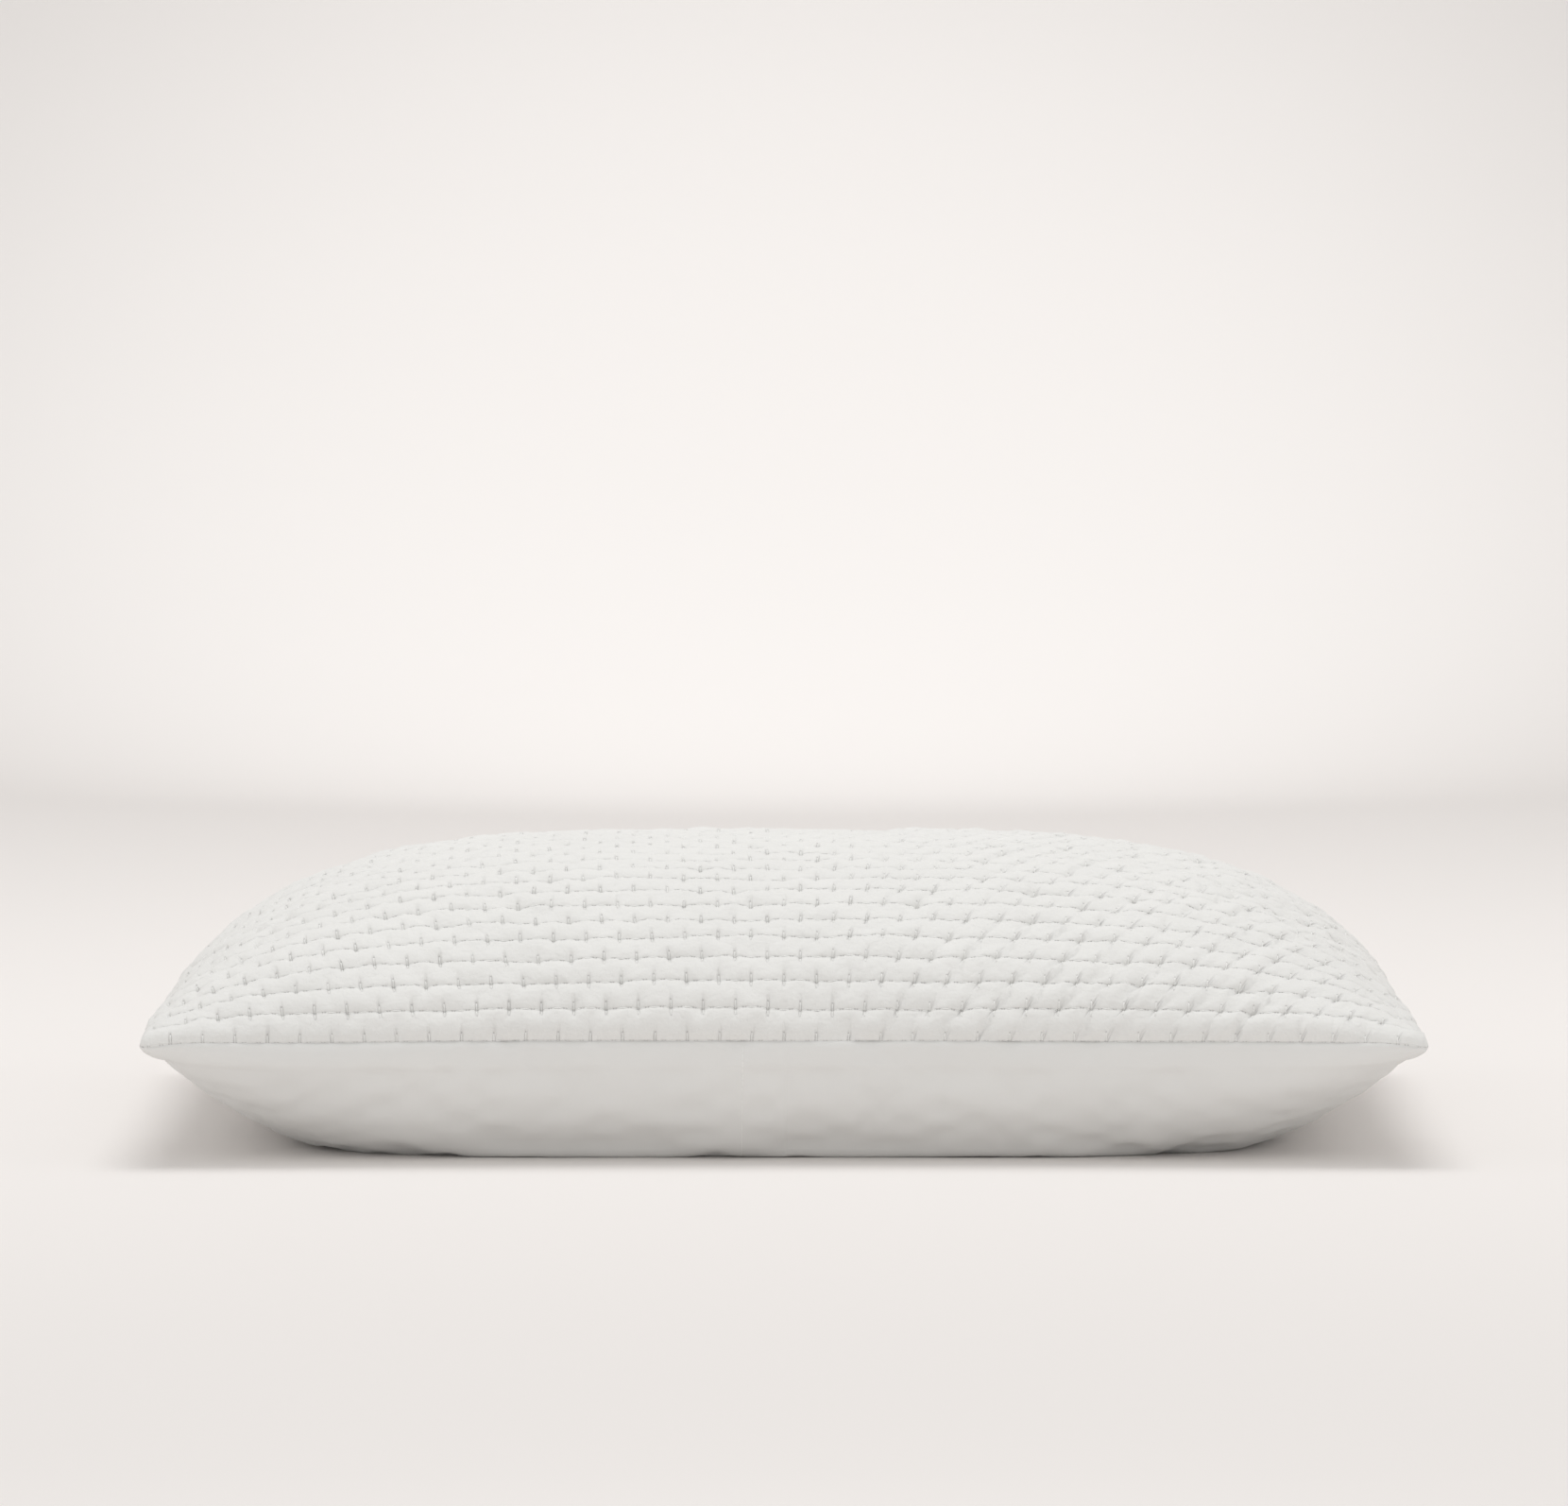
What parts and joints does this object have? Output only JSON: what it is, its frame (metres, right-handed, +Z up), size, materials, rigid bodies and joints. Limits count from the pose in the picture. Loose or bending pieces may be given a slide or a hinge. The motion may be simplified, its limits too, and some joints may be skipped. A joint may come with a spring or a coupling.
{
  "type": "bed pillow in a quilted sham",
  "caption": "Bed pillow lying flat: a fibre-filled insert inside a sham with a quilted top panel, a plain lapped back and pinched corner tips.",
  "frame": {"origin": "centre of the pillow's footprint, on the surface it lies on", "axes": "+X along the long side, +Y along the short side towards the rear, +Z up"},
  "size_m": [0.64, 0.492, 0.149],
  "materials": {
    "quilted_percale": "white cotton percale, quilted, matt",
    "plain_percale": "white cotton percale, plain and smooth, matt",
    "quilt_batting": "needled polyester batting, soft matt off-white",
    "lining_voile": "thin white cotton voile lining",
    "sewing_thread": "white polyester sewing thread, faint sheen",
    "overlock_thread": "white overlock thread, matt",
    "label_tape": "blank white satin tape",
    "ticking_cotton": "downproof cotton ticking, matt off-white",
    "piping_cotton": "cotton-covered cord, matt off-white",
    "polyester_fibre": "siliconised polyester fibre, white"
  },
  "bodies": {
    "root": {"quilt_face_panel": "quilted_percale", "quilt_batting": "quilt_batting", "quilt_lining": "lining_voile", "quilting_thread_rows": "sewing_thread", "back_panel_outer_lap": "plain_percale", "back_panel_under_lap": "plain_percale", "outer_lap_hem_thread": "sewing_thread", "under_lap_hem_thread": "sewing_thread", "perimeter_seam_thread": "sewing_thread", "seam_overlock_thread": "overlock_thread", "sham_care_label": "label_tape", "ticking_top": "ticking_cotton", "ticking_bottom": "ticking_cotton", "insert_piping_cord": "piping_cotton", "insert_seam_thread": "sewing_thread", "insert_closing_thread": "sewing_thread", "insert_care_label": "label_tape", "fibre_fill": "polyester_fibre"}
  },
  "joints": []
}
